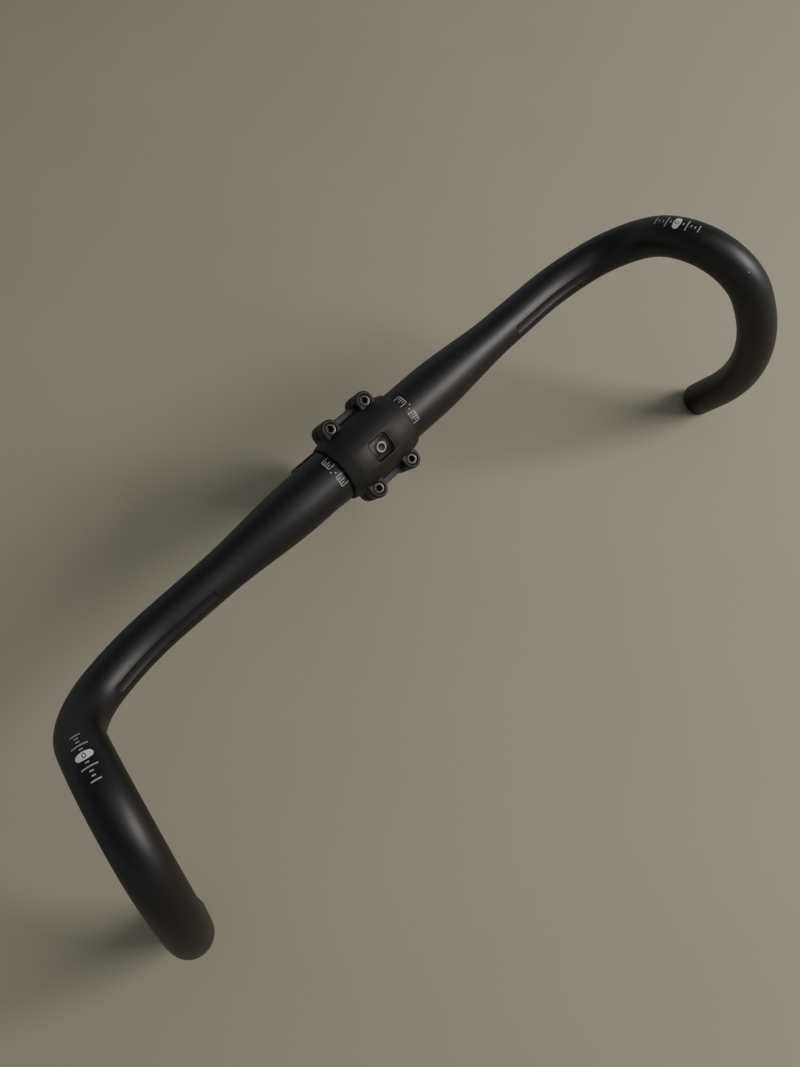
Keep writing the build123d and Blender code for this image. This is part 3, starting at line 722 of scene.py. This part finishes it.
def makeBoltTree():
    tree, given = newTree("turnedBolt", [
        ("Sides", "Int"), ("Ribs", "Float"), ("Rib depth", "Float"), ("Pitch", "Float"),
        ("Thread depth", "Float"), ("Finish", "Material"),
    ])
    carried = {}
    kinds = {"round": vectorKind, "hexagon": numberKind, "reach": numberKind,
             "ribbed": numberKind, "height": numberKind, "threaded": numberKind}
    for name, kind in kinds.items():
        reader = addNode(tree, "GeometryNodeInputNamedAttribute", {"data_type": kind}, {"Name": name})
        carried[name] = reader.outputs["Attribute"]
    profile = addNode(tree, "GeometryNodeMeshToCurve", {}, {"Mesh": given["Geometry"]})
    ring = addNode(tree, "GeometryNodeCurvePrimitiveCircle", {},
                   {"Resolution": given["Sides"], "Radius": 1.0})
    here = addNode(tree, "GeometryNodeInputPosition", {}, {}).outputs[0]
    marked = addNode(tree, "GeometryNodeStoreNamedAttribute",
                     {"data_type": "FLOAT_VECTOR", "domain": "POINT"},
                     {"Geometry": ring.outputs["Curve"], "Name": "round", "Value": here})
    skin = addNode(tree, "GeometryNodeCurveToMesh", {},
                   {"Curve": marked.outputs[0], "Profile Curve": profile.outputs[0]})
    turn = addNode(tree, "ShaderNodeSeparateXYZ", {}, {0: carried["round"]})
    angle = addNode(tree, "ShaderNodeMath", {"operation": "ARCTAN2"},
                    {0: turn.outputs[1], 1: turn.outputs[0]})
    # hexagon: reach grows towards the corners
    offFlat = addNode(tree, "ShaderNodeMath", {"operation": "PINGPONG"},
                      {0: angle.outputs[0], 1: radians(30)})
    near = addNode(tree, "ShaderNodeMath", {"operation": "COSINE"}, {0: offFlat.outputs[0]})
    reach = addNode(tree, "ShaderNodeMath", {"operation": "DIVIDE"}, {0: 1.0, 1: near.outputs[0]})
    extra = addNode(tree, "ShaderNodeMath", {"operation": "SUBTRACT"}, {0: reach.outputs[0], 1: 1.0})
    hexed = addNode(tree, "ShaderNodeMath", {"operation": "MULTIPLY_ADD"},
                    {0: extra.outputs[0], 1: carried["hexagon"], 2: 1.0})
    base = addNode(tree, "ShaderNodeMath", {"operation": "MULTIPLY"},
                   {0: hexed.outputs[0], 1: carried["reach"]})
    # ribs round the head
    ribAngle = addNode(tree, "ShaderNodeMath", {"operation": "MULTIPLY"},
                       {0: angle.outputs[0], 1: given["Ribs"]})
    ribWave = addNode(tree, "ShaderNodeMath", {"operation": "COSINE"}, {0: ribAngle.outputs[0]})
    ribDip = addNode(tree, "ShaderNodeMath", {"operation": "MULTIPLY_ADD"},
                     {0: ribWave.outputs[0], 1: 0.5, 2: 0.5})
    ribCut = addNode(tree, "ShaderNodeMath", {"operation": "MULTIPLY"},
                     {0: ribDip.outputs[0], 1: given["Rib depth"]})
    ribOn = addNode(tree, "ShaderNodeMath", {"operation": "MULTIPLY"},
                    {0: ribCut.outputs[0], 1: carried["ribbed"]})
    # thread: a V that climbs one pitch each turn
    perTurn = addNode(tree, "ShaderNodeMath", {"operation": "DIVIDE"}, {0: angle.outputs[0], 1: 2 * pi})
    rises = addNode(tree, "ShaderNodeMath", {"operation": "DIVIDE"},
                    {0: carried["height"], 1: given["Pitch"]})
    phase = addNode(tree, "ShaderNodeMath", {"operation": "SUBTRACT"},
                    {0: rises.outputs[0], 1: perTurn.outputs[0]})
    vee = addNode(tree, "ShaderNodeMath", {"operation": "PINGPONG"}, {0: phase.outputs[0], 1: 0.5})
    veeCut = addNode(tree, "ShaderNodeMath", {"operation": "MULTIPLY"},
                     {0: vee.outputs[0], 1: given["Thread depth"]})
    veeOn = addNode(tree, "ShaderNodeMath", {"operation": "MULTIPLY"},
                    {0: veeCut.outputs[0], 1: carried["threaded"]})
    cuts = addNode(tree, "ShaderNodeMath", {"operation": "ADD"}, {0: ribOn.outputs[0], 1: veeOn.outputs[0]})
    radius = addNode(tree, "ShaderNodeMath", {"operation": "SUBTRACT"},
                     {0: base.outputs[0], 1: cuts.outputs[0]})
    spread = addNode(tree, "ShaderNodeVectorMath", {"operation": "SCALE"},
                     {0: carried["round"], "Scale": radius.outputs[0]})
    raised = addNode(tree, "ShaderNodeCombineXYZ", {}, {"Z": carried["height"]})
    place = addNode(tree, "ShaderNodeVectorMath", {"operation": "ADD"},
                    {0: spread.outputs[0], 1: raised.outputs[0]})
    shaped = addNode(tree, "GeometryNodeSetPosition", {},
                     {"Geometry": skin.outputs[0], "Position": place.outputs[0]})
    closed = addNode(tree, "GeometryNodeMergeByDistance", {},
                     {"Geometry": shaped.outputs[0], "Distance": weld})
    real = addNode(tree, "GeometryNodeRealizeInstances", {}, {"Geometry": closed.outputs[0]})
    done = addNode(tree, "GeometryNodeSetMaterial", {},
                   {"Geometry": real.outputs[0], "Material": given["Finish"]})
    addNode(tree, "NodeGroupOutput", {}, {0: done.outputs[0]})
    return tree


boltTree = makeBoltTree()


def makeBolt(v, bolt, node, seat, axis, flat):
    rows = boltProfile(v, bolt)
    links = [(k, k + 1) for k in range(len(rows) - 1)]
    base = pointMesh("boltProfile", [(r * mm, 0, z * mm) for r, z, *_ in rows], links,
                     {"reach": [r[0] * mm for r in rows], "height": [r[1] * mm for r in rows],
                      "hexagon": [r[2] for r in rows], "ribbed": [r[3] for r in rows],
                      "threaded": [r[4] for r in rows], "rim": [r[5] for r in rows]}, {})
    made = grow(base, boltTree, {
        "Sides": v["sides"], "Ribs": float(v["ribs"]), "Rib depth": v["ribDepth"] * mm,
        "Pitch": bolt["pitch"] * mm, "Finish": boltMat,
        "Thread depth": 2 * v["threadShare"] * bolt["size"] * mm,
    }, node + "_turned")
    bpy.data.objects.remove(base)
    turn = Matrix((flat, axis.cross(flat), axis)).transposed().to_4x4()
    made.data.transform(Matrix.Translation(seat) @ turn)
    tidyMesh(made, v["crease"])
    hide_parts(node)
    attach(made, node)


for sx, sideName in ((-1, "left"), (1, "right")):
    for sy, heightName in ((-1, "upper"), (1, "lower")):
        seat = clampCentre + across * (sx * boltSizes["faceSpacingX"] / 2 * mm)
        seat = seat + below * (sy * boltSizes["faceSpacingY"] / 2 * mm)
        seat = seat + outward * (boltSizes["faceSeat"] * mm)
        turn = boltSizes["faceTurn"] + boltSizes["turnAcross"] * sx + boltSizes["turnDown"] * sy
        flat = across * cos(turn) + below * sin(turn)
        node = "faceplate_bolt_" + heightName + "_" + sideName
        makeBolt(boltSizes, boltSizes["face"], node, seat, outward, flat)

for heightName, turn in boltSizes["pinchTurns"].items():
    node = "steerer_bolt_" + heightName
    low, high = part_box(node)
    seat = (low + high) / 2
    seat.x = boltSizes["pinchSeat"] * mm
    flat = outward * cos(turn) + below * sin(turn)
    makeBolt(boltSizes, boltSizes["pinch"], node, seat, across, flat)
bpy.data.objects.remove(barPath)
print("bolts turned")

# edge is how far a sharp edge is rolled over in millimetres, and sharp how many degrees make one
castings = {
    "stem_body": {"body": "stem", "slot": "stem", "finish": forgedMat, "edge": 0.35, "sharp": 28},
    "faceplate": {"body": "faceplate", "slot": "stem", "finish": forgedMat, "edge": 0.3, "sharp": 28},
    "faceplate_badge": {"body": "faceplate", "slot": "badge", "finish": badgeMat, "edge": 0.08, "sharp": 28},
}
castingMesh = {"flatWithin": 0.5, "edgeSteps": 2, "crease": 40}


def softenCasting(node, v, fine):
    # a merged copy of the CAD solid with its sharp edges rolled over, as tumbling leaves them
    mesh = frame["nodes"][node].data.copy()
    mesh.name = node + "_softened"
    mesh.materials.clear()
    mesh.materials.append(v["finish"])
    made = bpy.data.objects.new(mesh.name, mesh)
    bpy.context.scene.collection.objects.link(made)
    work = bmesh.new()
    work.from_mesh(mesh)
    bmesh.ops.remove_doubles(work, verts=work.verts, dist=weld)
    bmesh.ops.dissolve_limit(work, angle_limit=radians(fine["flatWithin"]), verts=work.verts,
                             edges=work.edges)
    sharp = [e for e in work.edges if e.is_manifold and e.calc_face_angle(0) > radians(v["sharp"])]
    bmesh.ops.bevel(work, geom=sharp, offset=v["edge"] * mm, offset_type="OFFSET", segments=fine["edgeSteps"],
                    profile=0.5, affect="EDGES", clamp_overlap=True, harden_normals=False)
    bmesh.ops.triangulate(work, faces=work.faces)
    work.to_mesh(mesh)
    work.free()
    tidyMesh(made, fine["crease"])
    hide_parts(node)
    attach(made, v["body"])


for node, v in castings.items():
    softenCasting(node, v, castingMesh)
print("stem finished")

# half in metres, patch and grain in millimetres
floorSizes = {"half": 1.8, "patch": 160.0, "grain": 1.2, "paint": ("#a19c89", "#a9a492")}


def makeFloor(v):
    mesh = bpy.data.meshes.new("floor")
    h = v["half"]
    mesh.from_pydata([(-h, -h, 0), (h, -h, 0), (h, h, 0), (-h, h, 0)], [], [(0, 1, 2, 3)])
    ob = bpy.data.objects.new("floor", mesh)
    bpy.context.scene.collection.objects.link(ob)
    # painted board: pale warm grey, matt, barely uneven
    mat, tree, shader = newMaterial("mattPaintedBoard", Roughness=0.75)
    where = addNode(tree, "ShaderNodeTexCoord", {}, {}).outputs["Object"]
    patch = addNode(tree, "ShaderNodeTexNoise", {},
                    {"Vector": where, "Scale": 1 / (v["patch"] * mm), "Detail": 3.0})
    colour = addNode(tree, "ShaderNodeMix", {"data_type": "RGBA"},
                     {"Factor": patch.outputs["Fac"], 6: linear(v["paint"][0]), 7: linear(v["paint"][1])})
    tree.links.new(colour.outputs[2], shader.inputs["Base Color"])
    grain = addNode(tree, "ShaderNodeTexNoise", {},
                    {"Vector": where, "Scale": 1 / (v["grain"] * mm), "Detail": 2.0})
    bump = addNode(tree, "ShaderNodeBump", {},
                   {"Height": grain.outputs["Fac"], "Strength": 0.1, "Distance": 0.05 * mm})
    tree.links.new(bump.outputs[0], shader.inputs["Normal"])
    mesh.materials.append(mat)


makeFloor(floorSizes)

lights = {
    "window": {"place": (-1.15, 1.15, 1.25), "target": (0, 0, 0.05), "wide": 0.9, "tall": 0.7,
               "watts": 32, "colour": "#fbf6f2"},
    "sky": {"place": (-0.4, 0.5, 1.9), "target": (0, 0, 0), "wide": 1.6, "tall": 1.6,
            "watts": 4, "colour": "#fff6ea"},
}


def addLight(name, v):
    lamp = bpy.data.lights.new(name, "AREA")
    lamp.shape = "RECTANGLE"
    lamp.size, lamp.size_y = v["wide"], v["tall"]
    lamp.energy = v["watts"]
    lamp.color = linear(v["colour"])[:3]
    holder = bpy.data.objects.new(name, lamp)
    bpy.context.scene.collection.objects.link(holder)
    holder.location = v["place"]
    holder.rotation_euler = (Vector(v["target"]) - Vector(v["place"])).to_track_quat("-Z", "Y").to_euler()


for name, v in lights.items():
    addLight(name, v)

roomSizes = {"wallStrength": 0.6, "ceilingStrength": 0.17, "wallTop": 0.55, "paint": "#dfe7ef"}


def makeRoom(v):
    # pale walls, cooler than the lamps, under a dim ceiling
    world = bpy.data.worlds.new("studio")
    world.use_nodes = True
    tree = world.node_tree
    way = addNode(tree, "ShaderNodeTexCoord", {}, {}).outputs["Generated"]
    height = addNode(tree, "ShaderNodeSeparateXYZ", {}, {0: way}).outputs[2]
    glow = addNode(tree, "ShaderNodeMapRange", {"interpolation_type": "SMOOTHSTEP"},
                   {"Value": height, "From Min": 0.0, "From Max": v["wallTop"],
                    "To Min": v["wallStrength"], "To Max": v["ceilingStrength"]})
    tree.nodes["Background"].inputs["Color"].default_value = linear(v["paint"])
    tree.links.new(glow.outputs[0], tree.nodes["Background"].inputs["Strength"])
    bpy.context.scene.world = world


makeRoom(roomSizes)
print("floor and light set")
